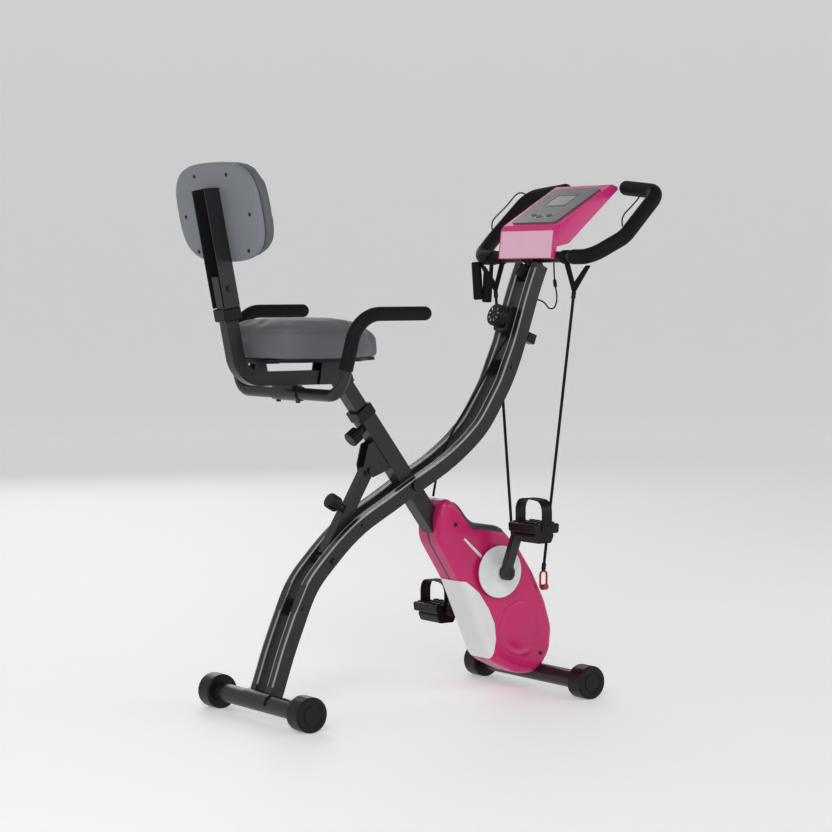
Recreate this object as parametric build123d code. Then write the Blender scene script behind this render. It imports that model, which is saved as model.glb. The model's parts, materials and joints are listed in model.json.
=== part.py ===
"""Folding exercise bike with a backrest: one X-shaped steel frame, a belt-driven flywheel inside a pink
casing, a tilting handlebar with a console, and two resistance bands.

Axes: +X forward (toward the handlebar), +Y the rider's left, +Z up, floor at Z = 0, millimetres.
Side outlines are (X, Z) pairs drawn about the point half way between the two feet; every part is moved
back by CENTRE_X as it is written, so the origin sits under the middle of the whole bike.
"""
from build123d import *
import math
import os

os.makedirs("parts", exist_ok=True)

CENTRE_X = 26.8


def unit(x, z):
    """Direction of length one in the side plane."""
    size = math.hypot(x, z)
    return (x / size, z / size)


# Feet
REAR_FOOT_X = -358.0
FRONT_FOOT_X = 362.0
FOOT_Z = 36.5
FOOT_RADIUS = 20.0
FOOT_WALL = 1.5
CAP_RADIUS = 37.0
CAP_LENGTH = 44.0
REAR_SPAN = 400.0
FRONT_SPAN = 428.0

# Twin curved tubes from the rear foot to the handlebar
TUBE_DEPTH = 32.0
TUBE_INNER_Y = 20.0
TUBE_OUTER_Y = 40.0
TUBE_WALL = 1.6
TUBE_LINE = [(-350, 38), (-341, 62), (-313, 142), (-288, 203), (-249, 281), (-215, 319), (-175, 358),
             (-125, 397), (-57, 435), (12, 474), (88, 515), (150, 558), (196, 601), (228, 647),
             (255, 691), (294, 781), (324, 869), (357, 952)]
SADDLE_RADIUS = 23.5

# Folding linkage
PIVOT = (14.0, 477.0)
STRUT_FOOT = (-200.0, 326.0)
STRUT_HEAD = (-91.0, 511.0)
STRUT_LENGTH = math.dist(STRUT_FOOT, STRUT_HEAD)
STRUT_DIR = ((STRUT_HEAD[0] - STRUT_FOOT[0]) / STRUT_LENGTH, (STRUT_HEAD[1] - STRUT_FOOT[1]) / STRUT_LENGTH)
STRUT_BACK = (-STRUT_DIR[1], STRUT_DIR[0])
STRUT_OUTER = 28.0
STRUT_BORE = 24.4
STRUT_INNER = 23.8
STRUT_KNOB_AT = 116.0
FIT = 0.05

# Seat tube and sliding post, both on one line through the pivot
POST_UP = unit(-0.597, 0.802)
POST_REAR = unit(-0.802, -0.597)
SEAT_TUBE = 38.0
SEAT_TUBE_TOP = 207.0
SEAT_TUBE_END = -142.0
POST_SIZE = 31.4
POST_TOP = 300.0
POST_END = 90.0
SEAT_KNOB_AT = 168.0

# Seat frame, backrest and armrests
SEAT_FRAME_Z = 714.5
SEAT_FRAME_DEPTH = 30.0
SEAT_FRAME_WIDTH = 27.0
BACK_UP = unit(-0.2, 0.98)
BACK_FRONT = unit(0.98, 0.2)
CHANNEL_FOOT = (-437.5, 863.5)
CHANNEL_LENGTH = 246.0
CHANNEL_DEPTH = 35.0
CHANNEL_WIDTH = 52.0
BACKREST_AT = 194.0
BOARD_THICK = 12.0
BACK_CUSHION = 32.0
BACKREST_OUTLINE = [(-118, -103), (118, -103), (160, -44), (162, 45), (130, 103),
                    (-130, 103), (-162, 45), (-160, -44)]
SEAT_SIDE = [(-390, 100), (-330, 132), (-240, 140), (-175, 118), (-122, 66), (-80, 42)]
SEAT_PROFILE = [(-420, 757), (-420, 836), (-205, 836), (-130, 822), (-92, 800), (-70, 757)]
SEAT_BASE_Z = 750.0
SEAT_SOFT_Z = 757.0
SEAT_TOP_Z = 835.0
ARM_X = -288.0
ARM_Z = 683.0
ARM_Y = 234.0
ARM_ROOT_Y = 198.0
ARM_ROOT_X = -268.0
ARM_TOP = 851.0
ARM_TIP = -103.0
ARM_RADIUS = 12.5
ARM_FOAM = 14.5

# Drive casing
CASE_SIDE = 47.0
CASE_WALL = 2.5
CASE_ROUND = 17.0
CASE_OUTLINE = [(72, 404), (86, 449), (126, 428), (160, 385), (242, 374), (296, 320), (332, 268),
                (367, 200), (386, 140), (381, 84), (347, 38), (290, 40), (214, 76), (136, 252), (72, 352)]
CRANK = (226.0, 276.0)
FLYWHEEL = (291.0, 142.0)
FLYWHEEL_RADIUS = 76.0
CRANK_LENGTH = 105.0
CRANK_LEAN = 7.0
ARM_EYE_Y = 104.0
PEDAL_Y = 162.0
PEDAL_HALF = 45.0
DISC_RADIUS = 58.0
HOOK = (351.0, 234.0)

# Handlebar and console
BAR = (362.0, 970.0)
BAR_RADIUS = 12.5
BAR_FOAM = 16.5
BAR_POINTS = [(362, -203, 970), (428, -238, 1013), (531, -233, 1113), (541, -110, 1125)]
BAR_BENDS = [50, 60, 38]
CONSOLE_HALF = 100.0
CONSOLE_TOP = (354.0, 1041.0)
CONSOLE_RUN = unit(152, 92)
CONSOLE_OUT = unit(-92, 152)
BAND_TOP = (364.0, 142.5, 890.0)


def along(origin, direction, distance):
    """Point on an (X, Z) line."""
    return (origin[0] + direction[0] * distance, origin[1] + direction[1] * distance)


def beam(origin, direction, start, end, depth, width, lift=0.0, y=0.0):
    """Rectangular bar lying in the side plane; `lift` moves it square to its length, anticlockwise."""
    mid = along(origin, direction, (start + end) / 2)
    mid = along(mid, (-direction[1], direction[0]), lift)
    turn = math.degrees(math.atan2(direction[1], direction[0]))
    return Pos(mid[0], y, mid[1]) * Rot(0, -turn, 0) * Box(end - start, width, depth)


def rod(origin, direction, start, end, radius, y=0.0):
    """Round bar lying in the side plane."""
    mid = along(origin, direction, (start + end) / 2)
    turn = math.degrees(math.atan2(direction[1], direction[0]))
    return Pos(mid[0], y, mid[1]) * Rot(0, 90 - turn, 0) * Cylinder(radius, end - start)


def pin(point, radius, y_from, y_to):
    """Round bar across the bike, from one Y to another."""
    return Pos(point[0], (y_from + y_to) / 2, point[1]) * Rot(90, 0, 0) * Cylinder(radius, y_to - y_from)


def across(face, y_from, y_to):
    """A side-view face stretched from one Y to another."""
    return extrude(Plane.XZ.offset(-y_from) * face, amount=-(y_to - y_from))


def plate(points, y_from, y_to):
    """A side-view polygon stretched from one Y to another."""
    return across(make_face(Polyline(*points, close=True)), y_from, y_to)


def both(shape):
    """A part and its twin on the other side of the bike."""
    return shape + mirror(shape, about=Plane.XZ)


def corner(before, at, after, limit, share=0.45):
    """Start, middle, end and radius of the arc that rounds one corner."""
    here = Vector(*at)
    one = Vector(*before) - here
    two = Vector(*after) - here
    half = math.radians(one.get_angle(two)) / 2
    radius = min(limit, share * min(one.length, two.length) * math.tan(half))
    one = one.normalized()
    two = two.normalized()
    axis = (one + two).normalized()
    reach = radius / math.tan(half)
    middle = here + axis * (radius / math.sin(half) - radius)
    return here + one * reach, middle, here + two * reach, radius


def bend(points, limits, closed=False, share=0.45):
    """Straight runs joined by tangent arcs; `limits` is one largest radius or one per corner."""
    count = len(points)
    inner = range(count) if closed else range(1, count - 1)
    if not isinstance(limits, (list, tuple)):
        limits = [limits] * len(inner)
    arcs = [corner(points[i - 1], points[i], points[(i + 1) % count], limit, share)
            for i, limit in zip(inner, limits)]
    edges = []
    last = arcs[-1][2] if closed else Vector(*points[0])
    for start, middle, end, _ in arcs:
        edges.append(Line(last, start))
        edges.append(ThreePointArc(start, middle, end))
        last = end
    if not closed:
        edges.append(Line(last, Vector(*points[-1])))
    return Wire([edge.edge() for edge in edges])


def radii(points):
    """The radii of a cord's bends."""
    return [round(corner(points[i - 1], points[i], points[i + 1], 60)[3], 1) for i in range(1, len(points) - 1)]


def loop_face(points, limit):
    """Face inside a closed outline with rounded corners."""
    return make_face(bend(points, limit, closed=True))


def tube(path, radius, wall=None):
    """Round tube, or solid rod, along a path."""
    section = Circle(radius) if wall is None else Circle(radius) - Circle(radius - wall)
    return sweep(Plane(origin=path @ 0, z_dir=path % 0) * section, path=path)


def flat_tube(path, depth, y_from, y_to, wall):
    """Rectangular tube that bends only in the side plane."""
    outer = across(trace(path, line_width=depth), y_from, y_to)
    inner = across(trace(path, line_width=depth - 2 * wall), y_from + wall, y_to - wall)
    return outer - inner


def square_tube(origin, direction, start, end, size, wall):
    """Square tube lying in the side plane."""
    inside = size - 2 * wall
    return beam(origin, direction, start, end, size, size) - beam(origin, direction, start - 1, end + 1, inside, inside)


def fluted(origin, direction, start, end, radius, flutes, depth):
    """Round grip with flutes round its rim."""
    turn = math.degrees(math.atan2(direction[1], direction[0]))
    mid = along(origin, direction, (start + end) / 2)
    blank = Cylinder(radius, end - start)
    blank = chamfer(blank.edges().filter_by(GeomType.CIRCLE), 1.5)
    cutters = [Rot(0, 0, 360 * i / flutes) * Pos(radius + depth, 0, 0) * Cylinder(2 * depth, end - start + 2)
               for i in range(flutes)]
    for cutter in cutters:
        blank -= cutter
    return Pos(mid[0], 0, mid[1]) * Rot(0, 90 - turn, 0) * blank


def bolt_head(point, radius, y_face, height, outward):
    """Hexagon head standing on a side face; `outward` is -1 on the right and 1 on the left."""
    head = Rot(90, 0, 0) * extrude(RegularPolygon(radius, 6), amount=height / 2, both=True)
    return Pos(point[0], y_face + outward * height / 2, point[1]) * head


def node(name, shape):
    """Write one named part."""
    export_step(Pos(-CENTRE_X, 0, 0) * shape, f"parts/{name}.step")


def foot_tube(x, span):
    """Round floor tube."""
    half = span / 2 - CAP_LENGTH + 26
    return pin((x, FOOT_Z), FOOT_RADIUS, -half, half) - pin((x, FOOT_Z), FOOT_RADIUS - FOOT_WALL, -half - 1, half + 1)


def foot_caps(x, span):
    """Round end caps, each with a narrow flat under it."""
    end = span / 2
    cap = pin((x, FOOT_Z), CAP_RADIUS, -end, -end + CAP_LENGTH)
    cap = fillet(cap.edges().filter_by(GeomType.CIRCLE), 4)
    cap -= pin((x, FOOT_Z), FOOT_RADIUS, -end + CAP_LENGTH - 26, -end + CAP_LENGTH + 1)
    cap -= pin((x, FOOT_Z), 24, -end - 1, -end + 1.2) - pin((x, FOOT_Z), 19, -end - 1, -end + 1.2)
    cap -= Pos(x, 0, -50) * Box(200, 600, 100)
    return both(cap)


# ---------------------------------------------------------------- main frame: rear foot to handlebar
node("rear_foot_tube", foot_tube(REAR_FOOT_X, REAR_SPAN))
node("rear_foot_caps", foot_caps(REAR_FOOT_X, REAR_SPAN))

tube_line = Spline(*TUBE_LINE)
curved = flat_tube(tube_line, TUBE_DEPTH, -TUBE_OUTER_Y, -TUBE_INNER_Y, TUBE_WALL)
curved -= pin((REAR_FOOT_X, FOOT_Z), SADDLE_RADIUS, -60, 0)
curved -= pin(BAR, BAR_RADIUS + 1.2, -60, 0)
curved -= pin(PIVOT, 6, -60, 0)
curved -= pin(STRUT_FOOT, 4, -60, 0)
node("curved_tube_right", curved)
node("curved_tube_left", mirror(curved, about=Plane.XZ))

saddle = pin((REAR_FOOT_X, FOOT_Z), SADDLE_RADIUS, -48, 48) - pin((REAR_FOOT_X, FOOT_Z), FOOT_RADIUS, -49, 49)
saddle &= Pos(REAR_FOOT_X, 0, FOOT_Z + 30) * Box(60, 120, 60)
for station in (0.17, 0.36, 0.80):
    spot = tube_line @ station
    run = tube_line % station
    saddle += beam((spot.X, spot.Y), (run.X, run.Y), -19, 19, 5, 2 * TUBE_INNER_Y, lift=-8)
node("frame_brackets", saddle)

bolts = pin(PIVOT, 6, -44, 44)
bolts += pin(PIVOT, 12.5, -46.5, -40) + bolt_head(PIVOT, 10.5, 40, 9, 1)
bolts += both(pin(PIVOT, 11, -19.9, -19.1)) - pin(PIVOT, 6, -30, 30)
bolts += pin(STRUT_FOOT, 4, -42, 42)
bolts += bolt_head(STRUT_FOOT, 7.5, -40, 5.5, -1) + bolt_head(STRUT_FOOT, 7.5, 40, 6.5, 1)
for station in (0.17, 0.36, 0.80):
    spot = tube_line @ station
    bolts += both(Pos(spot.X, -TUBE_OUTER_Y - 1.2, spot.Y) * Rot(90, 0, 0) * Cylinder(4.5, 2.4))
node("frame_bolts", bolts)

KNOB_DIR = unit(-0.66, -0.7513)
clamp = pin(BAR, 16, -19.5, 19.5)
clamp += plate([(350, 915), (364, 925), (376, 950), (370, 962), (356, 962), (356, 936)], -20, 20)
clamp += rod(BAR, KNOB_DIR, 12, 27, 7.5)
clamp -= pin(BAR, BAR_RADIUS + FIT, -21, 21)
clamp -= rod(BAR, KNOB_DIR, 0, 40, 4.1)
node("handlebar_clamp", clamp)

BOX_MID = (308.5, 823.0)
BOX_BACK = unit(-0.9386, 0.345)
tension_box = beam(BOX_MID, BOX_BACK, -15, 37, 58, 40)
tension_box = fillet(tension_box.edges().filter_by(Axis.Y), 6)
tension_box += beam(BOX_MID, BOX_BACK, -44, -14, 12, 12, lift=18)
tension_box += beam(BOX_MID, BOX_BACK, -62, -40, 22, 22, lift=18)
tension_box -= rod(BOX_MID, BOX_BACK, 18, 40, 4.05)
node("tension_box", tension_box)

CABLE_POINTS = [(292, 0, 792), (262, 0, 762), (228, 0, 706), (186, 0, 650), (150, 0, 603), (118, 0, 555),
                (97, 0, 505), (86, 0, 446)]
print("tension_cable bend radii", radii(CABLE_POINTS))
node("tension_cable", tube(bend(CABLE_POINTS, 60), 2.5))


def band_strap():
    """Right webbing loop over the handlebar, its two legs meeting in a point under it."""
    loop = pin(BAR, 15.2, -127, -110) - pin(BAR, 13.6, -128, -109)
    legs = [(-110, 956), (-127, 956), (-144, 914), (-184, 951), (-200, 951), (-147, 892), (-138, 892)]
    return loop + Pos(364, 0, 0) * extrude(Plane.YZ * make_face(Polyline(*legs, close=True)), amount=1, both=True)


def hand_grip(x, y, low, high, lean):
    """Foam hand grip on a webbing loop hung from the handlebar."""
    foam = Cylinder(11, high - low)
    foam = fillet(foam.edges().filter_by(GeomType.CIRCLE), 3)
    return Pos(x, y, (low + high) / 2) * Rot(lean, 0, 0) * foam


straps = both(band_strap())
straps += plate([(345, 975), (343.4, 975), (333, 948), (334.6, 948)], 150, 166)
straps += pin(BAR, 15.2, 129, 141) - pin(BAR, 13.6, 128, 142)
straps += plate([(346.8, 968), (348.4, 968), (346, 936), (344.4, 936)], 129, 142)
straps += hand_grip(328, 165, 874, 960, -6)
straps += hand_grip(346, 150, 868, 938, 5)
node("band_straps", straps)

SENSOR_POINTS = [(384, -46, 999), (384, -46, 950), (387, -46, 912), (395, -46, 880), (388, -46, 856),
                 (371, -45, 854), (362, -40, 872), (347, -31, 876)]
print("sensor_cable bend radii", radii(SENSOR_POINTS))
sensor = tube(bend(SENSOR_POINTS, 60), 1.6)
sensor += Pos(386, -46, 915) * Rot(0, 4, 0) * Cylinder(4.2, 22)
node("sensor_cable", sensor)

# ---------------------------------------------------------------- telescopic strut and its pull knob
outer_strut = square_tube(STRUT_FOOT, STRUT_DIR, 10, 131, STRUT_OUTER, (STRUT_OUTER - STRUT_BORE) / 2)
outer_strut += pin(STRUT_FOOT, 13, -18, 18)
outer_strut -= pin(STRUT_FOOT, 4 + FIT, -19, 19)
outer_strut += rod(along(STRUT_FOOT, STRUT_DIR, STRUT_KNOB_AT), STRUT_BACK, 14, 24, 8.5)
outer_strut -= rod(along(STRUT_FOOT, STRUT_DIR, STRUT_KNOB_AT), STRUT_BACK, 5, 26, 4.1)
node("strut_outer_tube", outer_strut)

inner_strut = square_tube(STRUT_FOOT, STRUT_DIR, 24, STRUT_LENGTH - 7, STRUT_INNER, 1.8)
inner_strut += pin(STRUT_HEAD, STRUT_INNER / 2, -STRUT_INNER / 2, STRUT_INNER / 2)
inner_strut -= pin(STRUT_HEAD, 7.4, -20, 20)
node("strut_inner_tube", inner_strut)


def pull_knob(origin, direction, tip, head_from, head_to):
    """Fluted pull knob with its locking pin."""
    grip = fluted(origin, direction, head_from, head_to, 17, 12, 1.4)
    return grip + rod(origin, direction, tip, head_from + 2, 4) + rod(origin, direction, head_from - 4, head_from, 10)


node("strut_knob", pull_knob(along(STRUT_FOOT, STRUT_DIR, STRUT_KNOB_AT), STRUT_BACK, 12.2, 28.5, 53))

# ---------------------------------------------------------------- drive frame: seat tube to front foot
seat_tube = square_tube(PIVOT, POST_UP, SEAT_TUBE_END, SEAT_TUBE_TOP, SEAT_TUBE, 2)
seat_tube += pin(PIVOT, 9, -18.5, 18.5)
seat_tube -= pin(PIVOT, 6 + FIT, -30, 30)
seat_tube += rod(along(PIVOT, POST_UP, SEAT_KNOB_AT), POST_REAR, 18.5, 28.7, 9)
seat_tube -= rod(along(PIVOT, POST_UP, SEAT_KNOB_AT), POST_REAR, 12, 31, 4.1)
node("seat_tube", seat_tube)

collar = beam(PIVOT, POST_UP, SEAT_TUBE_TOP - 22, SEAT_TUBE_TOP + 4, 44, 44)
collar = fillet(collar.edges(), 2)
collar -= beam(PIVOT, POST_UP, SEAT_TUBE_TOP - 30, SEAT_TUBE_TOP, SEAT_TUBE, SEAT_TUBE)
collar -= beam(PIVOT, POST_UP, SEAT_TUBE_TOP - 10, SEAT_TUBE_TOP + 6, POST_SIZE + 0.6, POST_SIZE + 0.6)
node("seat_tube_collar", collar)

GUSSET = [(-37, 513.8), (-81.8, 574), (-94, 568), (-105, 524), (-101, 501), (-84, 497)]
gusset = both(plate(GUSSET, -17, -13.2))
gusset -= pin(STRUT_HEAD, 4, -40, 40)
gusset -= beam(PIVOT, POST_UP, 0, SEAT_TUBE_TOP, SEAT_TUBE, SEAT_TUBE)
node("strut_gusset", gusset)

node("front_foot_tube", foot_tube(FRONT_FOOT_X, FRONT_SPAN))
node("front_foot_caps", foot_caps(FRONT_FOOT_X, FRONT_SPAN))

case_face = loop_face(CASE_OUTLINE, 62)


def case_blank(grow):
    """Whole casing as a closed block, `grow` larger all round."""
    face = case_face if grow == 0 else offset(case_face, amount=grow)
    half = CASE_SIDE + grow
    block = across(face, -half, half)
    rims = block.faces().sort_by(Axis.Y)
    return fillet(rims[0].edges() + rims[-1].edges(), CASE_ROUND + grow)


blank = case_blank(0)
cavity = case_blank(-CASE_WALL)
seat_tube_hole = beam(PIVOT, POST_UP, -160, 0, SEAT_TUBE, SEAT_TUBE)
foot_hole = pin((FRONT_FOOT_X, FOOT_Z), FOOT_RADIUS, -80, 80)
shell = blank - cavity - seat_tube_hole - foot_hole
shell -= pin(CRANK, 12.5, -80, 80)
half_shell = shell & Pos(200, -54, 250) * Box(600, 100, 700)
dish = pin(FLYWHEEL, 62, -CASE_SIDE - 1, -CASE_SIDE + 1.2) - pin(FLYWHEEL, 40, -CASE_SIDE - 2, -CASE_SIDE + 2)
half_shell -= dish
node("housing_right", half_shell)
node("housing_left", mirror(half_shell, about=Plane.XZ))

trim = shell & Pos(200, 0, 250) * Box(600, 8, 700)
skin = case_blank(1.2) - blank
trim += (skin & plate([(108, 450), (134, 404), (158, 374), (244, 362), (256, 400)], -60, 60)) - seat_tube_hole
node("housing_trim", trim)

INSERT = [(90, 262), (142, 258), (176, 232), (203, 194), (219, 160), (223, 124), (218, 96), (210, 60), (120, 60)]
inserts = skin & plate(INSERT, -60, 60)
inserts += both(plate([(134, 352), (138, 355), (185, 314), (181, 308)], -CASE_SIDE - 0.6, -CASE_SIDE))
node("housing_inserts", inserts)

CORE = [(92, 376), (132, 400), (250, 300), (322, 158), (372, 90), (360, 40), (336, 44), (258, 118),
        (196, 256), (112, 340)]
core = both(plate(CORE, -30, -26)) & case_blank(-CASE_WALL - 0.6)
core -= foot_hole
core -= seat_tube_hole
core += both(pin(CRANK, 17, -44, -24))
core -= pin(CRANK, 10 + FIT, -60, 60)
core += pin(FLYWHEEL, 6, -36, 36)
core += pin((104, 364), 6, -26, -19) + pin((104, 364), 6, 19, 26)
core += pin((352, 74), 7, -26, 26)
node("drive_core", core)

fasteners = pin(STRUT_HEAD, 4, -19, 19)
fasteners += bolt_head(STRUT_HEAD, 8, -17, 6, -1) + bolt_head(STRUT_HEAD, 8, 17, 6, 1)
for spot in ((112, 386), (348, 83)):
    fasteners += both(pin(spot, 4.2, -CASE_SIDE - 1.6, -CASE_SIDE))
node("drive_fasteners", fasteners)

hook = pin(HOOK, 4, -61, -CASE_SIDE) + pin(HOOK, 7, -64, -61)
ring_path = bend([(HOOK[0] - 9, -54, 227.6), (HOOK[0] + 9, -54, 227.6), (HOOK[0] + 9, -54, 268),
                  (HOOK[0] - 9, -54, 268)], 8.5, closed=True)
hook += tube(ring_path, 2.3)
node("band_hooks", both(hook))


def band(side):
    """One taut resistance band, hook to strap."""
    low = Vector(HOOK[0], side * 54, 272.5)
    high = Vector(BAND_TOP[0], side * BAND_TOP[1], BAND_TOP[2])
    run = high - low
    return Plane(origin=low, z_dir=run) * Cylinder(3.2, run.length, align=(Align.CENTER, Align.CENTER, Align.MIN))


node("band_right", band(-1))
node("band_left", band(1))

# ---------------------------------------------------------------- sliding post with seat and backrest
post = square_tube(PIVOT, POST_UP, POST_END, POST_TOP, POST_SIZE, 2)
post -= Pos(-170, 0, SEAT_BASE_Z - 2.5 + 50) * Box(200, 100, 100)
node("seat_post", post)

seat_corner = along(CHANNEL_FOOT, BACK_UP, (SEAT_FRAME_Z - CHANNEL_FOOT[1]) / BACK_UP[1])
seat_line = bend([(-184, SEAT_FRAME_Z), seat_corner, along(CHANNEL_FOOT, BACK_UP, 66)], 58)
seat_frame = flat_tube(seat_line, SEAT_FRAME_DEPTH, -SEAT_FRAME_WIDTH / 2, SEAT_FRAME_WIDTH / 2, 1.8)
seat_frame -= beam(PIVOT, POST_UP, POST_END, POST_TOP + 30, POST_SIZE, POST_SIZE)
node("seat_frame", seat_frame)

CHEEK = [(-222, 699.5), (-166, 699.5), (-150, 690), (-134, 706), (-150, 746), (-214, 746)]
brackets = both(plate(CHEEK, -19.2, -POST_SIZE / 2))
brackets -= pin((-160, 728), 4, -30, 30)
brackets += Pos(-182, 0, 748) * Box(72, 70, 4)
brackets += Pos(-351, 0, 748) * Box(46, 60, 4)
brackets += both(plate([(-378, 729), (-346, 729), (-350, 746), (-373, 746)], -13.5, -10.5))
brackets += pin((ARM_X, ARM_Z), 15.5, -50, 50) - pin((ARM_X, ARM_Z), ARM_RADIUS, -51, 51)
pad = Pos(ARM_X, 0, 692) * Box(25, 70, 15) - pin((ARM_X, ARM_Z), ARM_RADIUS, -60, 60)
brackets += pad
brackets += both(Pos(ARM_X, -38, 666) * Cylinder(5, 5))
node("seat_brackets", brackets - seat_frame)

seat_loop = [(x, -y) for x, y in SEAT_SIDE] + [(x, y) for x, y in reversed(SEAT_SIDE)]
base_loop = [(x * 0.94 - 12, y * 0.88) for x, y in seat_loop]
base = extrude(Pos(0, 0, SEAT_BASE_Z) * loop_face(base_loop, 55), amount=SEAT_SOFT_Z - SEAT_BASE_Z - 0.5)
node("seat_base", base)
cushion = extrude(Pos(0, 0, SEAT_SOFT_Z) * loop_face(seat_loop, 60), amount=SEAT_TOP_Z - SEAT_SOFT_Z)
cushion &= across(loop_face(SEAT_PROFILE, 60), -160, 160)
node("seat_cushion", cushion)

channel = beam(CHANNEL_FOOT, BACK_UP, 0, CHANNEL_LENGTH, CHANNEL_DEPTH, CHANNEL_WIDTH)
slot = beam(CHANNEL_FOOT, BACK_UP, -1, CHANNEL_LENGTH + 1, 40.2, CHANNEL_WIDTH - 5, lift=5)
node("backrest_channel", channel - slot)

back_collar = beam(CHANNEL_FOOT, BACK_UP, -28, -1, 42, 44)
back_collar = fillet(back_collar.edges(), 3)
back_collar -= beam(CHANNEL_FOOT, BACK_UP, -30, 0, SEAT_FRAME_DEPTH + 0.02, SEAT_FRAME_WIDTH + 0.02)
node("backrest_collar", back_collar)

face_mid = along(along(CHANNEL_FOOT, BACK_UP, BACKREST_AT), BACK_FRONT, CHANNEL_DEPTH / 2)
back_plane = Plane(origin=(face_mid[0], 0, face_mid[1]), x_dir=(0, 1, 0), z_dir=(BACK_FRONT[0], 0, BACK_FRONT[1]))
board = extrude(loop_face(BACKREST_OUTLINE, 74), amount=BOARD_THICK)
board = fillet(board.edges().group_by(Axis.Z)[0], 3)
node("backrest_board", back_plane * board)
back_pad = extrude(Pos(0, 0, BOARD_THICK + 0.5) * loop_face(BACKREST_OUTLINE, 74), amount=BACK_CUSHION)
back_pad = fillet(back_pad.edges().group_by(Axis.Z)[-1], 14)
node("backrest_cushion", back_plane * back_pad)

screws = Part()
for y, up in ((64, 77), (128, -6), (100, -80)):
    screws += both(back_plane * (Pos(y, up, -0.9) * Cylinder(3.6, 1.8)))
for y, up in ((16, 30), (-2, 33), (16, -45), (-2, -42)):
    screws += back_plane * (Pos(y, up, -3.9) * Cylinder(3.5, 3))
screws += back_plane * (Pos(9, -10, -4.4) * Box(26, 11, 4))
screws += both(pin(along(CHANNEL_FOOT, BACK_UP, 40), 6, -CHANNEL_WIDTH / 2 - 4, -CHANNEL_WIDTH / 2))
node("backrest_bolts", screws)

ARM_PATH = [(ARM_X, -ARM_ROOT_Y, ARM_Z), (ARM_ROOT_X, -ARM_Y, ARM_TOP), (ARM_TIP, -ARM_Y, ARM_TOP)]
arm_points = [(x, -y, z) for x, y, z in reversed(ARM_PATH)] + ARM_PATH
arm_line = bend(arm_points, [60, 52, 52, 60])
node("armrest_tube", tube(arm_line, ARM_RADIUS, 1.6))
riser = Vector(*ARM_PATH[1]) - Vector(*ARM_PATH[0])
foam_start = Vector(*ARM_PATH[0]) + riser * 0.32
foam_line = bend([tuple(foam_start), ARM_PATH[1], ARM_PATH[2]], 60, share=0.9)
arm_foam = tube(foam_line, ARM_FOAM) - tube(foam_line, ARM_RADIUS)
arm_end = Pos(ARM_TIP, -ARM_Y, ARM_TOP) * Sphere(ARM_FOAM)
arm_end &= Pos(ARM_TIP + 50, -ARM_Y, ARM_TOP) * Box(100, 60, 60)
node("armrest_grips", both(arm_foam + arm_end))

node("seat_knob", pull_knob(along(PIVOT, POST_UP, SEAT_KNOB_AT), POST_REAR, 16, 33, 58))

# ---------------------------------------------------------------- crank, pedals and flywheel
axle = pin(CRANK, 10, -90, 90)
axle += pin(CRANK, 54, 10, 20) - pin(CRANK, 40, 9, 11) - pin(CRANK, 40, 19, 21) + pin(CRANK, 16, 8, 21)
node("crank_axle", axle)

LEAN = math.radians(CRANK_LEAN)
RIGHT_EYE = (CRANK[0] + CRANK_LENGTH * math.sin(LEAN), CRANK[1] + CRANK_LENGTH * math.cos(LEAN))
LEFT_EYE = (2 * CRANK[0] - RIGHT_EYE[0], 2 * CRANK[1] - RIGHT_EYE[1])


def crank_arm():
    """Right crank arm pointing straight up from the origin, stepping outward to its eye."""
    side = [(-78, -14), (-91, -14), (-91, 18), (-111, CRANK_LENGTH - 24), (-111, CRANK_LENGTH + 12),
            (-98, CRANK_LENGTH + 12), (-98, CRANK_LENGTH - 20), (-78, 22)]
    arm = extrude(Plane.YZ * make_face(Polyline(*side, close=True)), amount=11, both=True)
    arm += pin((0, 0), 17, -91, -78) + pin((0, CRANK_LENGTH), 13, -111, -98)
    front = loop_face([(-17, -16), (17, -16), (12, CRANK_LENGTH + 13), (-12, CRANK_LENGTH + 13)], 12)
    arm &= across(front, -120, -70)
    arm -= pin((0, 0), 10, -130, -60)
    arm -= pin((0, CRANK_LENGTH), 6, -130, -60)
    return arm


right_arm = Pos(CRANK[0], 0, CRANK[1]) * Rot(0, CRANK_LEAN, 0) * crank_arm()
left_arm = Pos(CRANK[0], 0, CRANK[1]) * Rot(0, CRANK_LEAN + 180, 0) * mirror(crank_arm(), about=Plane.XZ)
right_arm += pin(RIGHT_EYE, 6, -112, -98) + pin(RIGHT_EYE, 4.5, -200, -112)
left_arm += pin(LEFT_EYE, 6, 98, 112) + pin(LEFT_EYE, 4.5, 112, 200)
node("crank_arm_right", right_arm)
node("crank_arm_left", left_arm)

disc = pin(CRANK, DISC_RADIUS, -61, -57)
disc = fillet(disc.edges().filter_by(GeomType.CIRCLE).sort_by(Axis.Y)[0], 2)
disc += pin(CRANK, 21, -77.5, -60)
disc -= pin(CRANK, 10, -90, -40)
node("crank_discs", both(disc))


def pedal(eye):
    """Right pedal: level deck with studs and a heavier underside, on the spindle at `eye`."""
    deck = loop_face([(-33, -8), (33, -8), (35, 13), (-35, 13)], 5)
    body = across(deck, -PEDAL_Y - PEDAL_HALF, -PEDAL_Y + PEDAL_HALF)
    keel = loop_face([(-30, -7), (30, -7), (19, -30), (-19, -30)], 7)
    body += across(keel, -PEDAL_Y - PEDAL_HALF + 8, -PEDAL_Y + PEDAL_HALF - 8)
    for row in range(3):
        for step in range(5):
            spot = Pos(-22 + 22 * row, -PEDAL_Y - 34 + 17 * step, 14)
            body += spot * Box(9, 9, 4)
    body -= pin((0, 0), 4.5 + FIT, -PEDAL_Y - 40, -60)
    return Pos(eye[0], 0, eye[1]) * body


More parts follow.
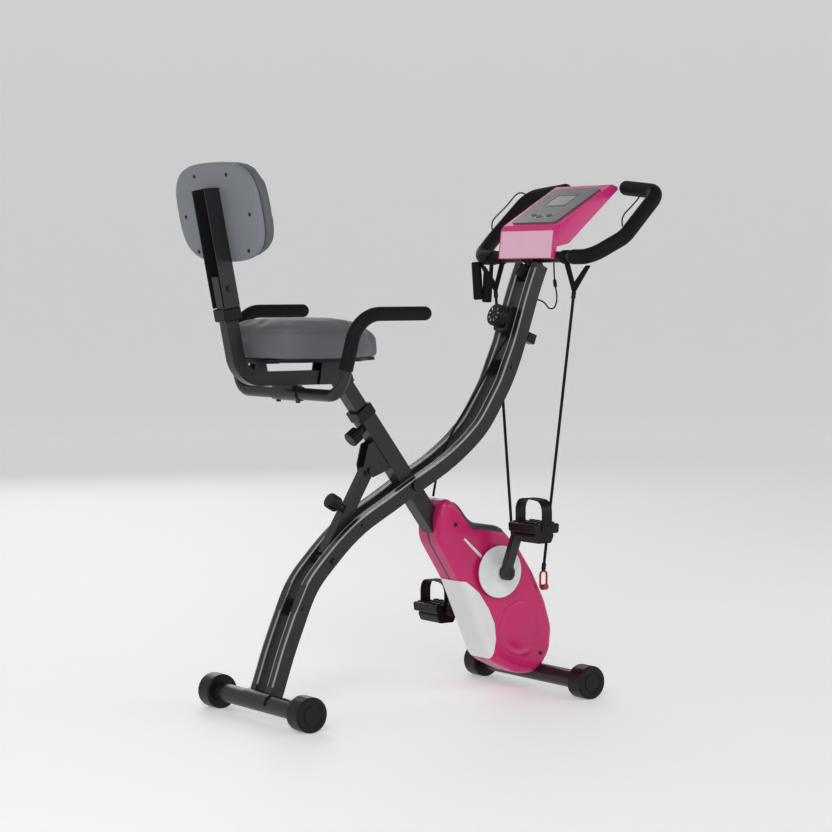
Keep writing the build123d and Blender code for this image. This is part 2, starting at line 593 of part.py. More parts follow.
def pedal_strap(eye):
    """Arched toe strap over the right pedal, with a row of adjusting holes."""
    half = PEDAL_HALF + 1.2
    arch = bend([(-half, 5), (-half, 38), (-24, 64), (22, 64), (half, 40), (half, 5)], 26)
    band_face = trace(arch, line_width=2.4)
    strap = extrude(Plane.YZ * band_face, amount=13, both=True)
    for step in range(4):
        strap -= Pos(0, -18 + 11 * step, 64) * Box(7, 4, 8)
    return Pos(eye[0], -PEDAL_Y, eye[1]) * strap


node("pedal_right", pedal(RIGHT_EYE))
node("pedal_left", mirror(pedal(LEFT_EYE), about=Plane.XZ))
node("pedal_strap_right", pedal_strap(RIGHT_EYE))
node("pedal_strap_left", mirror(pedal_strap(LEFT_EYE), about=Plane.XZ))

wheel = pin(FLYWHEEL, FLYWHEEL_RADIUS, -18, 5) - pin(FLYWHEEL, 58, -19, -12) - pin(FLYWHEEL, 58, 0, 6)
wheel += pin(FLYWHEEL, 16, -20, 22)
wheel += pin(FLYWHEEL, 19, 10, 20)
wheel -= pin(FLYWHEEL, 6 + FIT, -40, 40)
node("flywheel", wheel)

# ---------------------------------------------------------------- knobs and handlebar
knob = fluted(BOX_MID, BOX_BACK, 39, 60, 25, 28, 0.9)
knob += rod(BOX_MID, BOX_BACK, 20, 40, 4)
knob += rod(BOX_MID, BOX_BACK, 60, 61.2, 20)
node("tension_knob", knob)

t_knob = fluted(BAR, KNOB_DIR, 32, 56, 14, 6, 2.2)
t_knob += rod(BAR, KNOB_DIR, 13, 33, 4)
node("clamp_knob", t_knob)

bar_points = [(x, -y, z) for x, y, z in reversed(BAR_POINTS)] + BAR_POINTS
bar_line = bend(bar_points, BAR_BENDS[::-1] + BAR_BENDS)
node("handlebar_tube", tube(bar_line, BAR_RADIUS, 1.8))

bar_foam_line = bend([(BAR[0], -144, BAR[1])] + BAR_POINTS, BAR_BENDS, share=0.8)
bar_foam = tube(bar_foam_line, BAR_FOAM) - tube(bar_foam_line, BAR_RADIUS)
tip = Vector(*BAR_POINTS[-1])
tip_run = (tip - Vector(*BAR_POINTS[-2])).normalized()
tip_plane = Plane(origin=tip, z_dir=tip_run)
dome = Sphere(BAR_FOAM) & Pos(0, 0, 20) * Box(60, 60, 40)
node("handlebar_grips", both(bar_foam + tip_plane * dome))

CONSOLE = [(339, 967), (346, 1030), CONSOLE_TOP, (506, 1133), (529, 1126), (383, 1000), (350, 993), (344, 966)]
console_face = make_face(Polyline(*CONSOLE, close=True))
console = across(console_face, -CONSOLE_HALF, CONSOLE_HALF)
console = fillet(console.edges().filter_by(Axis.Y).sort_by(Axis.Z)[-3:], 5)
hollow = across(offset(console_face, amount=-3), -CONSOLE_HALF + 3, CONSOLE_HALF - 3)
console -= hollow
feet = both(plate([(352, 968), (372, 968), (378, 1003), (352, 996)], -46, -26))
console += feet - pin(BAR, BAR_RADIUS, -60, 60)
node("console_body", console)
node("console_plate", plate([(336.6, 968), (338.9, 968), (345.7, 1028.5), (343.4, 1028.5)], -93, 93))

console_plane = Plane(origin=(CONSOLE_TOP[0], 0, CONSOLE_TOP[1]), x_dir=(CONSOLE_RUN[0], 0, CONSOLE_RUN[1]),
                      z_dir=(CONSOLE_OUT[0], 0, CONSOLE_OUT[1]))
BUTTON_ROW = [(42, 32), (34, 4), (38, -28)]


def button(spot, grow, low, high):
    """Oval key, or the hole it runs in when `grow` is more than 0."""
    return Pos(spot[0], spot[1], low) * extrude(Rot(0, 0, 90) * SlotOverall(19 + grow, 11 + grow), amount=high - low)


panel = extrude(loop_face([(8, -82), (160, -86), (160, 86), (8, 82)], 12), amount=3.2)
panel -= Pos(104, 0, 3.2) * Box(52, 80, 2.4)
for spot in BUTTON_ROW:
    panel -= button(spot, 0.8, -1, 5)
node("console_panel", console_plane * panel)
for name, spot in zip(("left", "middle", "right"), BUTTON_ROW):
    node(f"button_{name}", console_plane * button(spot, 0, 1.4, 4.6))
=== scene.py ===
"""Looks of a folding exercise bike: paint, vinyl, foam, webbing, cords and small trim round its CAD frame.

Lengths are metres in the frame's own axes: +X toward the handlebar, +Y the rider's left, +Z up.
"""
import json
import math

import bpy
import numpy as np
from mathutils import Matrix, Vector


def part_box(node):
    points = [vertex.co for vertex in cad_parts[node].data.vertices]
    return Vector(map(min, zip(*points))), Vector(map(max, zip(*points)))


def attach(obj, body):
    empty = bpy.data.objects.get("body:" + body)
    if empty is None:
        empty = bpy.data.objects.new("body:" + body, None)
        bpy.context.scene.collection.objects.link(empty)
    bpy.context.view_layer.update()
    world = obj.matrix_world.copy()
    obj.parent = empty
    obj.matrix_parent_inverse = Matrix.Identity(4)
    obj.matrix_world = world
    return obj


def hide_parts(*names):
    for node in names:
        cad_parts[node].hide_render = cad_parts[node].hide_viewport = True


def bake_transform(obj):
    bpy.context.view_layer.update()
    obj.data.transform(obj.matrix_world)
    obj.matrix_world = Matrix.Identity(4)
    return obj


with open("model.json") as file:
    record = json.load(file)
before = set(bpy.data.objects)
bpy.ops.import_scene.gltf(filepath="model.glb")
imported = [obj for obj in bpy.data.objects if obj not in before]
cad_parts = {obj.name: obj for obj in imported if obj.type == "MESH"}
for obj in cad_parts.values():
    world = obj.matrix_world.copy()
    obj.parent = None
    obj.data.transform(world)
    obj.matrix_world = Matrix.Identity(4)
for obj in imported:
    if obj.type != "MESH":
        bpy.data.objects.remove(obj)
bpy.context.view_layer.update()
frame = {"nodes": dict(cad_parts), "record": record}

bl_info = {
    "name": "Folding exercise bike",
    "version": (1, 0, 0),
    "blender": (4, 5, 0),
    "location": "View3D > Sidebar > Bike",
    "description": "Builds the finishes and soft pieces of a folding exercise bike",
    "category": "Add Mesh",
}

CENTRE_X = 26.8
TAU = 2 * math.pi

# Side-view line of the curved tubes, in millimetres about the middle of the feet
TUBE_LINE = [(-350, 38), (-341, 62), (-313, 142), (-288, 203), (-249, 281), (-215, 319), (-175, 358),
             (-125, 397), (-57, 435), (12, 474), (88, 515), (150, 558), (196, 601), (228, 647),
             (255, 691), (294, 781), (324, 869), (357, 952)]
SEAT_SIDE = [(-390, 100), (-330, 132), (-240, 140), (-175, 118), (-122, 66), (-80, 42)]
SEAT_TOP = [(-420, 836), (-205, 836), (-130, 826), (-92, 810), (-70, 792)]
SEAT_SOFT_Z = 757.0
BACK_UP = np.array([-0.2, 0.0, 0.98]) / math.hypot(0.2, 0.98)
BACK_FRONT = np.array([0.98, 0.0, 0.2]) / math.hypot(0.2, 0.98)
BACK_FOOT = np.array([-437.5, 0.0, 863.5])
CABLE_ROUTE = [(292, 0, 792), (262, 0, 762), (228, 0, 706), (186, 0, 650), (150, 0, 603), (118, 0, 555),
               (97, 0, 505), (86, 0, 446)]
SENSOR_ROUTE = [(384, -46, 999), (384, -46, 950), (387, -46, 912), (395, -46, 880), (388, -46, 856),
                (371, -45, 854), (362, -40, 872), (347, -31, 876)]
BAND_ROUTE = [(351, -54, 272.5), (351.8, -59.5, 311), (363.2, -136.9, 851), (364, -142.5, 890)]
PULSE_ROUTE = [(424, -236, 1036), (421, -236, 1049), (430, -235, 1064), (446, -235, 1076), (469, -234, 1096),
               (487, -233, 1116), (500, -231, 1124), (513, -228, 1122), (519, -226, 1116)]
CONSOLE_TOP = np.array([354.0, 0.0, 1041.0])
CONSOLE_RUN = np.array([152.0, 0.0, 92.0]) / math.hypot(152, 92)
CONSOLE_OUT = np.array([-92.0, 0.0, 152.0]) / math.hypot(152, 92)
BUTTON_ROW = [(42, 32), (34, 4), (38, -28)]
BOX_MID = np.array([308.5, 0.0, 823.0])
BOX_BACK = np.array([-0.9386, 0.0, 0.345])

ALONG = np.array([1.0, 0.0, 0.0])
ACROSS = np.array([0.0, 1.0, 0.0])
CORD_UP = (0.31, 0.94, 0.13)

# Rings of a pad: share of its outline, share of its height
PAD_RINGS = [(0.02, 0), (0.35, 0), (0.7, 0), (0.94, 0), (0.985, 0.05), (1, 0.16), (1, 0.4),
             (1, 0.7), (0.992, 0.86), (0.97, 0.96), (0.93, 1), (0.7, 1.03), (0.35, 1.04), (0.02, 1.04)]
PAD_FRAMES = 20
PAD_PRESSURE = 4.0
SEAT_MIDDLE = [-235.0, 0.0, 0.0]
SEAM_HEIGHT = 0.811
SEAM_DIP = 0.018
BACK_SQUARENESS = 3.1

# Radii along a moulded band end and a cable plug, in millimetres
KNOT_RADII = np.array([3.3, 4.4, 5.0, 5.2, 5.2, 4.7, 4.7, 5.2, 5.2, 5.0, 4.4, 3.3])
PLUG_AT = [0, 2, 5, 14, 17, 19]
PLUG_RADII = [2.0, 3.6, 4.1, 4.1, 3.6, 2.0]
PULSE_WIRE = 0.003

KEY_PRINT_INNER = 6.4
KEY_PRINT_LOW, KEY_PRINT_HIGH = 3.15, 3.4
KEY_PRINT_WIDE = 2.1

# Flywheel boss: radius and height over the casing's flat side
BOSS_X, BOSS_Z, BOSS_FACE = 291, 142, 47.0
BOSS_PROFILE = [(0.2, 2.2), (14, 2.1), (28, 1.6), (38, 0.7), (44, 0.0), (47, 0.1), (51, 1.3),
                (55, 2.3), (59, 2.4), (62, 1.5), (64, 0.1), (64.5, -0.6), (40, -0.7), (0.2, -0.7)]

DIAL_MARKS = 8
DIAL_START, DIAL_STEP = -140, 40
DIAL_REACH = 15
DIAL_LOW, DIAL_HIGH = 61.15, 61.4

# Toe strap: its arch over the pedal, then its ribbed section
STRAP_EDGE = 46.2
STRAP_ARCH = [(-STRAP_EDGE, -2), (-STRAP_EDGE, 26), (-STRAP_EDGE, 47), (-36, 62), (-12, 64.5),
              (12, 64.5), (36, 62), (STRAP_EDGE, 47), (STRAP_EDGE, 26), (STRAP_EDGE, -2)]
STRAP_SECTION = [(-13, -1.1), (13, -1.1), (13, 1.6), (10.6, 1.6), (10.2, 0.7), (5.4, 0.7),
                 (5.0, 1.5), (3.0, 1.5), (2.6, 0.7), (-2.6, 0.7), (-3.0, 1.5), (-5.0, 1.5),
                 (-5.4, 0.7), (-10.2, 0.7), (-10.6, 1.6), (-13, 1.6)]
STRAP_RISE = 0.0652
STRAP_TEETH = 5

# Studio: name, place, size and power of each lamp
LAMPS = (("key", (-2.9, -3.0, 3.0), 1.6, 56), ("fill", (3.4, -4.2, 2.0), 2.6, 24),
         ("back", (1.5, 5.2, 2.6), 3.0, 48), ("top", (0.0, 0.0, 5.0), 4.5, 22))
LAMP_AIM = np.array([0, 0, 0.5])
SKY_STRENGTH = 0.2
FLOOR_GLOW = 0.37
PICTURE_GAMMA = 0.84
BOWL_CURVE = 4
BOWL_TOP = 9.0
CAMERA_SPOT = (-3.027 - CENTRE_X / 1000, -4.356, 0.927)
CAMERA_DIP = 3.258
CAMERA_HEADING = -35.149
CAMERA_LENS = 106.08


def place(points):
    """Millimetres about the middle of the feet, turned into metres in the frame's axes."""
    points = np.asarray(points, float)
    return (points - np.array([CENTRE_X, 0.0, 0.0])) / 1000


def unit_rows(vectors):
    """Each row divided by its own length."""
    return vectors / np.linalg.norm(vectors, axis=-1, keepdims=True)


# ---------------------------------------------------------------- meshes from grids


def skin(name, grid, caps=True, uv=None):
    """Mesh from a grid of points: rows run along the piece, columns go round it and join up again.

    A face joins each point to the next one round and the same two on the next row; one flat face
    closes each end row. `uv` gives the lengths that one turn and the whole piece span on the UV map.
    """
    rows, columns = grid.shape[:2]
    row = np.arange(rows - 1)[:, None] * columns
    here = np.arange(columns)[None, :]
    after = (here + 1) % columns
    quads = np.stack([row + here, row + after, row + columns + after, row + columns + here], axis=-1)
    faces = quads.reshape(-1, 4).tolist()
    if caps:
        faces.append(list(range(columns))[::-1])
        faces.append(list(range((rows - 1) * columns, rows * columns)))
    mesh = bpy.data.meshes.new(name)
    mesh.from_pydata(grid.reshape(-1, 3).tolist(), [], faces)
    if uv is not None:
        turn, run = uv
        u0 = np.broadcast_to(here / columns * turn, (rows - 1, columns))
        u1 = u0 + turn / columns
        v0 = np.broadcast_to(np.arange(rows - 1)[:, None] / (rows - 1) * run, (rows - 1, columns))
        v1 = v0 + run / (rows - 1)
        sides = np.stack([np.stack([u0, v0], -1), np.stack([u1, v0], -1),
                          np.stack([u1, v1], -1), np.stack([u0, v1], -1)], axis=2).reshape(-1)
        flat = np.zeros(len(mesh.loops) * 2)
        flat[:len(sides)] = sides
        mesh.uv_layers.new(name="UVMap").data.foreach_set("uv", flat)
    mesh.polygons.foreach_set("use_smooth", [True] * len(mesh.polygons))
    mesh.update()
    piece = bpy.data.objects.new(name, mesh)
    bpy.context.collection.objects.link(piece)
    return piece


def carry(path, section, up):
    """Section carried along a path.

    Point = path + section's first value times the side axis + its second times the sinking axis. The
    side axis is the run's direction crossed with `up`; the sinking axis is the run crossed with the side.
    """
    path = np.asarray(path, float)
    run = unit_rows(np.gradient(path, axis=0))
    side = unit_rows(np.cross(run, np.asarray(up, float)))
    sink = np.cross(run, side)
    section = np.asarray(section, float)
    sideways = section[None, :, :1] * side[:, None, :]
    sinking = section[None, :, 1:] * sink[:, None, :]
    return path[:, None, :] + sideways + sinking


def ring(radius, sides):
    """Circle: radius times cosine and sine of evenly spaced angles."""
    turn = np.arange(sides) / sides * TAU
    return np.stack([radius * np.cos(turn), radius * np.sin(turn)], axis=-1)


def oval(width, height, power, sides):
    """Rounded rectangle: cosine and sine raised to 2 / power, with their signs kept."""
    turn = np.arange(sides) / sides * TAU
    across, along = np.cos(turn), np.sin(turn)
    return np.stack([width / 2 * np.sign(across) * np.abs(across) ** (2 / power),
                     height / 2 * np.sign(along) * np.abs(along) ** (2 / power)], axis=-1)


def closed_curve(points, steps):
    """Closed quadratic B-spline.

    Each corner pulls an arc that starts and ends half way along its two sides.
    """
    points = np.asarray(points, float)
    before = (np.roll(points, 1, axis=0) + points) / 2
    after = (np.roll(points, -1, axis=0) + points) / 2
    t = (np.arange(steps) / steps)[None, :, None]
    arcs = (1 - t) ** 2 * before[:, None] + 2 * t * (1 - t) * points[:, None] + t ** 2 * after[:, None]
    return arcs.reshape(-1, 2)


def even(path, step):
    """The same path with its points `step` apart, read off by distance along it."""
    reach = np.concatenate([[0], np.cumsum(np.linalg.norm(np.diff(path, axis=0), axis=1))])
    at = np.linspace(0, reach[-1], max(2, int(round(reach[-1] / step)) + 1))
    return np.stack([np.interp(at, reach, path[:, axis]) for axis in range(3)], axis=-1)


def slab(name, outline, low, high, origin, first, second, third):
    """Flat piece with eased edges: an outline in a plane, between two heights over it."""
    ease = min(0.3, (high - low) / 3)
    centre = outline.mean(axis=0)
    reach = np.linalg.norm(outline - centre, axis=1, keepdims=True)
    inner = centre + (outline - centre) * (1 - ease / reach)
    rows = [(inner, low), (outline, low + ease), (outline, high - ease), (inner, high)]
    grid = np.stack([origin + flat[:, :1] * first + flat[:, 1:] * second + height * third
                     for flat, height in rows])
    piece = skin(name, place(grid))
    piece.data.polygons.foreach_set("use_smooth", [False] * len(piece.data.polygons))
    return piece


def spline_path(points):
    """Points along the smooth spline that has these control points."""
    curve = bpy.data.curves.new("route", "CURVE")
    curve.dimensions = "3D"
    curve.resolution_u = 16
    spline = curve.splines.new("NURBS")
    spline.points.add(len(points) - 1)
    spline.points.foreach_set("co", np.column_stack([points, np.ones(len(points))]).ravel())
    spline.order_u = 3
    spline.use_endpoint_u = True
    holder = bpy.data.objects.new("route", curve)
    bpy.context.collection.objects.link(holder)
    bpy.context.view_layer.update()
    mesh = bpy.data.meshes.new_from_object(holder)
    path = np.empty(len(mesh.vertices) * 3)
    mesh.vertices.foreach_get("co", path)
    bpy.data.objects.remove(holder)
    bpy.data.meshes.remove(mesh)
    bpy.data.curves.remove(curve)
    return path.reshape(-1, 3)


def span(path):
    """Length of a path."""
    return float(np.linalg.norm(np.diff(path, axis=0), axis=1).sum())


def vertices(piece):
    """A mesh's points as one array."""
    points = np.empty(len(piece.data.vertices) * 3)
    piece.data.vertices.foreach_get("co", points)
    return points.reshape(-1, 3)


def paint(piece, slot):
    """Gives a piece the finish of one material slot."""
    piece.data.materials.clear()
    piece.data.materials.append(finish(slot))
    return piece


# ---------------------------------------------------------------- materials


class Flow:
    """One value in a material, an output that takes part in Python sums."""

    def __init__(self, maker, socket):
        self.maker = maker
        self.socket = socket

    def sum(self, operation, first, second=0.0):
        return self.maker.node("ShaderNodeMath", {"operation": operation}, {0: first, 1: second})

    def __add__(self, other):
        return self.sum("ADD", self, other)

    def __sub__(self, other):
        return self.sum("SUBTRACT", self, other)

    def __rsub__(self, other):
        return self.sum("SUBTRACT", other, self)

    def __mul__(self, other):
        return self.sum("MULTIPLY", self, other)

    def sine(self):
        return self.sum("SINE", self)

    __radd__ = __add__
    __rmul__ = __mul__


class Finish:
    """One procedural material while its nodes are being laid out."""

    def __init__(self, name):
        self.material = bpy.data.materials.new(name)
        self.material.use_nodes = True
        self.tree = self.material.node_tree
        self.tree.nodes.clear()

    def node(self, kind, settings=None, sockets=None, out=0):
        """New node: its settings first, then the values or links of its inputs. Gives back one output."""
        made = self.tree.nodes.new(kind)
        for key, value in (settings or {}).items():
            setattr(made, key, value)
        for key, value in (sockets or {}).items():
            if isinstance(value, Flow):
                self.tree.links.new(value.socket, made.inputs[key])
            else:
                made.inputs[key].default_value = value
        return Flow(self, made.outputs[out])

    def where(self):
        """The point on the object."""
        return self.node("ShaderNodeTexCoord", out="Object")

    def parts(self, vector):
        """A vector's three numbers."""
        first = self.node("ShaderNodeSeparateXYZ", sockets={0: vector})
        split = first.socket.node
        return [Flow(self, output) for output in split.outputs]

    def noise(self, scale, detail=2.0, rough=0.5):
        """Cloudy value between 0 and 1; `scale` is how many blobs there are in a metre."""
        return self.node("ShaderNodeTexNoise", None,
                         {"Vector": self.where(), "Scale": scale, "Detail": detail, "Roughness": rough})

    def cells(self, scale):
        """Distance to the nearest of scattered points, `scale` cells in a metre."""
        return self.node("ShaderNodeTexVoronoi", None, {"Vector": self.where(), "Scale": scale})

    def blend(self, amount, first, second):
        """Colour between two others."""
        first, second = ([(*c, 1.0) if isinstance(c, tuple) and len(c) == 3 else c for c in (first, second)])
        return self.node("ShaderNodeMix", {"data_type": "RGBA"}, {0: amount, 6: first, 7: second}, out=2)

    def bump(self, height, distance, strength=1.0):
        """Normal that follows a height, which is worth `distance` metres at 1."""
        return self.node("ShaderNodeBump", None,
                         {"Height": height, "Distance": distance, "Strength": strength})

    def done(self, **sockets):
        """Ends the material in one Principled shader; a name's underscores stand for spaces."""
        named = {key.replace("_", " "): value for key, value in sockets.items()}
        shader = self.node("ShaderNodeBsdfPrincipled", None, named)
        self.node_out(shader)
        return self.material

    def node_out(self, shader):
        output = self.tree.nodes.new("ShaderNodeOutputMaterial")
        self.tree.links.new(shader.socket, output.inputs["Surface"])


def shade(colour, factor):
    """A colour made lighter or darker."""
    return tuple(min(1.0, c * factor) for c in colour)


def powder_coat(name, colour):
    """Satin paint on steel, with a fine orange-peel skin and a faint metal fleck."""
    f = Finish(name)
    fleck = f.noise(2600, 1.0)
    cloud = f.noise(14, 3.0)
    tint = f.blend(fleck, shade(colour, 0.72), shade(colour, 1.34))
    return f.done(Base_Color=f.blend(cloud * 0.35, tint, (*shade(colour, 0.8), 1.0)), Metallic=0.45,
                  Roughness=0.27 + cloud * 0.12, Coat_Weight=0.2, Coat_Roughness=0.18,
                  Normal=f.bump(f.noise(850, 2.0) * 0.7 + fleck * 0.3, 0.00008, 0.4))


def moulded(name, colour, rough, coat, grain=0.00006, shine=0.5):
    """Moulded plastic: an even colour, cloudy gloss and a very fine spark-eroded skin."""
    f = Finish(name)
    cloud = f.noise(9, 3.0)
    return f.done(Base_Color=f.blend(cloud, shade(colour, 0.95), shade(colour, 1.05)),
                  Roughness=(rough - 0.05) + cloud * 0.1, Coat_Weight=coat, Coat_Roughness=0.12,
                  Specular_IOR_Level=shine, Normal=f.bump(f.noise(1500, 2.0), grain, 0.6))


def vinyl(name, colour):
    """Grained vinyl: small pebbles parted by fine creases, with painted shade that makes it a little darker
    in the creases and lighter on the pebbles.
    """
    f = Finish(name)
    pebble = f.cells(1150)
    fine = f.noise(2400, 2.0)
    cloud = f.noise(11, 3.0)
    # Painted shade and highlight: darker in the creases between the pebbles, lighter at their middles.
    grain = f.blend(pebble, shade(colour, 1.08), shade(colour, 0.86))
    return f.done(Base_Color=f.blend(cloud * 0.4, grain, (*shade(colour, 0.88), 1.0)),
                  Roughness=0.5 + cloud * 0.14, Sheen_Weight=0.12,
                  Normal=f.bump((1 - pebble) * 0.8 + fine * 0.2, 0.00022, 0.55))


def foam(name, colour):
    """Closed-cell foam sleeve: matt black with small open pores."""
    f = Finish(name)
    pores = f.cells(900)
    fine = f.noise(2100, 3.0)
    return f.done(Base_Color=f.blend(fine, shade(colour, 0.8), shade(colour, 1.35)),
                  Roughness=0.5 + fine * 0.15, Specular_IOR_Level=0.28,
                  Normal=f.bump(pores * 0.5 + fine * 0.5, 0.0003, 0.6))


def webbing(name, colour):
    """Woven strap: ribs 1.6 mm apart crossed by finer picks."""
    f = Finish(name)
    x, y, z = f.parts(f.where())
    rib = ((x + y) * (TAU / 0.0016)).sine()
    pick = ((z + y * 0.4) * (TAU / 0.0011)).sine()
    weave = rib * 0.3 + pick * 0.2 + 0.5
    return f.done(Base_Color=f.blend(weave, shade(colour, 0.7), shade(colour, 1.8)),
                  Roughness=0.6 + weave * 0.12, Specular_IOR_Level=0.3,
                  Normal=f.bump(weave, 0.0003, 0.7))


def braid(name, colour):
    """Cord sheath: two sets of strands that wind opposite ways, read from the piece's own UV map."""
    f = Finish(name)
    turn, run = f.parts(f.node("ShaderNodeUVMap", {"uv_map": "UVMap"}))[:2]
    one = (turn * (6 * TAU) + run * (TAU / 0.007)).sine()
    two = (turn * (6 * TAU) - run * (TAU / 0.007)).sine()
    weave = one * two * 0.5 + 0.5
    return f.done(Base_Color=f.blend(weave, shade(colour, 0.6), shade(colour, 1.9)),
                  Roughness=0.55 + weave * 0.15, Specular_IOR_Level=0.3,
                  Normal=f.bump(weave, 0.0004, 0.6))


def metal(name, colour, rough):
    """Bare or plated metal with fine turning marks and a cloudy polish."""
    f = Finish(name)
    cloud = f.noise(30, 3.0)
    fine = f.noise(1800, 2.0)
    return f.done(Base_Color=f.blend(cloud, shade(colour, 0.85), shade(colour, 1.1)), Metallic=1.0,
                  Roughness=(rough - 0.06) + cloud * 0.12, Normal=f.bump(fine, 0.00008, 0.5))


def floor_paint(name, colour):
    """Matt backdrop that glows evenly, palest round the bike, with painted shade that makes it a little
    darker from three metres out.
    """
    f = Finish(name)
    reach = f.node("ShaderNodeVectorMath", {"operation": "LENGTH"}, {0: f.where()}, out="Value")
    # Painted shade: the colour darkens with distance from the bike, where the studio light falls off.
    far = f.node("ShaderNodeMapRange", {"interpolation_type": "SMOOTHSTEP"}, {0: reach, 1: 1.6, 2: 4.6})
    return f.done(Base_Color=f.blend(far, colour, shade(colour, 0.84)), Roughness=0.6,
                  Emission_Color=(1, 1, 1, 1), Emission_Strength=FLOOR_GLOW)


def finish(slot):
    """The material of one slot, made the first time that it is asked for."""
    found = bpy.data.materials.get("bike_" + slot)
    if found:
        return found
    c = {key: tuple(getattr(bpy.context.scene.bike_colours, key)) for key in BikeColours.__annotations__}
    name = "bike_" + slot
    makers = {
        "frame_steel": lambda: powder_coat(name, c["frame"]),
        "black_plastic": lambda: moulded(name, c["black"], 0.34, 0.05, 0.0001, 0.38),
        "pink_shell": lambda: moulded(name, c["casing"], 0.3, 0.35),
        "pink_console": lambda: moulded(name, c["console"], 0.28, 0.4),
        "pale_pink_plate": lambda: moulded(name, c["plate"], 0.25, 0.4),
        "grey_plastic": lambda: moulded(name, c["grey"], 0.4, 0.1, 0.0001),
        "white_plastic": lambda: moulded(name, c["white"], 0.3, 0.3),
        "bolt_steel": lambda: metal(name, c["bolt"], 0.34),
        "seat_vinyl": lambda: vinyl(name, c["seat"]),
        "back_vinyl": lambda: vinyl(name, c["back"]),
        "black_foam": lambda: foam(name, c["foam"]),
        "black_webbing": lambda: webbing(name, c["webbing"]),
        "black_cord": lambda: braid(name, c["webbing"]),
        "wheel_iron": lambda: metal(name, c["iron"], 0.4),
        # Light lines on the tubes' rear corners: partly a silver pinstripe, partly a painted highlight of
        # the rounded corners
        "silver_line": lambda: moulded(name, c["silver"], 0.3, 0.2),
        "key_print": lambda: moulded(name, c["white"], 0.4, 0.1),
        "screen_glass": lambda: moulded(name, c["screen"], 0.12, 0.6, 0.00001),
        "screen_lcd": lambda: moulded(name, c["lcd"], 0.2, 0.5, 0.00001),
        "panel_grey": lambda: moulded(name, c["panel"], 0.32, 0.2),
        "red_plastic": lambda: moulded(name, c["hook"], 0.35, 0.2),
        "floor": lambda: floor_paint(name, c["floor"]),
    }
    return makers[slot]()


# ---------------------------------------------------------------- settings


def colour_setting(name, words, default):
    """A colour that the user may change."""
    return bpy.props.FloatVectorProperty(name=name, description=words, subtype="COLOR", size=3, min=0, max=1,
                                         default=default)


def length_setting(name, words, default):
    """A length that the user may change."""
    return bpy.props.FloatProperty(name=name, description=words, default=default, min=0.0001,
                                   subtype="DISTANCE", unit="LENGTH", precision=4)


class BikeColours(bpy.types.PropertyGroup):
    """Colours of the bike and of the floor round it"""

    frame: colour_setting("Frame", "Satin paint on the tubes", (0.045, 0.045, 0.0475))
    black: colour_setting("Black", "Caps, knobs and pedals", (0.009, 0.009, 0.01))
    casing: colour_setting("Casing", "Gloss shell round the drive", (0.64, 0.024, 0.185))
    console: colour_setting("Console", "Shell of the console", (0.78, 0.05, 0.27))
    plate: colour_setting("Plate", "Pale plate on the console's back", (0.93, 0.58, 0.73))
    grey: colour_setting("Grey", "Seam trim and keys", (0.07, 0.074, 0.078))
    white: colour_setting("White", "Side inserts and crank discs", (0.82, 0.83, 0.84))
    bolt: colour_setting("Bolts", "Bolt heads and spindles", (0.07, 0.07, 0.073))
    seat: colour_setting("Cushions", "Vinyl on the soft side of the pads", (0.165, 0.17, 0.186))
    back: colour_setting("Backrest board", "Vinyl on the board behind the pad", (0.27, 0.285, 0.315))
    foam: colour_setting("Foam", "Sleeves on the armrests and handlebar", (0.009, 0.009, 0.0095))
    webbing: colour_setting("Webbing", "Straps, bands and cables", (0.007, 0.007, 0.0075))
    iron: colour_setting("Flywheel", "Turned iron", (0.3, 0.3, 0.31))
    # Colour of the light lines: partly the pinstripe's silver, partly a painted highlight on the tubes' rear
    # corners
    silver: colour_setting("Lines", "Fine lines along the curved tubes", (0.42, 0.43, 0.45))
    screen: colour_setting("Screen", "Glass round the display", (0.03, 0.032, 0.035))
    lcd: colour_setting("Display", "Display under the glass", (0.27, 0.285, 0.275))
    panel: colour_setting("Panel", "Face of the console", (0.15, 0.147, 0.157))
    hook: colour_setting("Hook", "Clip at the foot of each band", (0.5, 0.02, 0.05))
    floor: colour_setting("Floor", "Backdrop", (0.72, 0.72, 0.72))


class BikeSizes(bpy.types.PropertyGroup):
    """Sizes of the pieces added round the frame"""

    line: length_setting("Line width", "Width of the lines along the curved tubes", 0.0026)
    welt: length_setting("Welt", "Thickness of the seam round each cushion", 0.0022)
    voxel: length_setting("Cushion grid", "Spacing of a cushion's points before it swells", 0.005)
    seat_swell: length_setting("Seat swell", "Furthest that the seat's skin may move", 0.007)
    back_swell: length_setting("Backrest swell", "Furthest that the backrest's skin may move", 0.006)
    band: length_setting("Band", "Thickness of a resistance band", 0.0064)
    cable: length_setting("Tension cable", "Thickness of the brake's cable", 0.005)
    sensor: length_setting("Sensor cable", "Thickness of the console's cable", 0.0032)
    backdrop: length_setting("Backdrop", "Distance to the backdrop's curve", 9.0)


# ---------------------------------------------------------------- soft pieces


def pillow(name, outline, bottom, top, lay_out):
    """Closed pad: rings of one outline, from a point under it, out over its rim and in again over its top.

    Each ring is the outline shrunk towards its middle; its height is a share of the way from `bottom`
    to `top`. `lay_out` turns a ring's two flat values and a height into points.
    """
    middle = outline.mean(axis=0)
    grid = []
    for share, height in PAD_RINGS:
        flat = middle + (outline - middle) * share
        grid.append(lay_out(flat, bottom + (top(flat) - bottom) * height))
    return skin(name, place(np.stack(grid)))


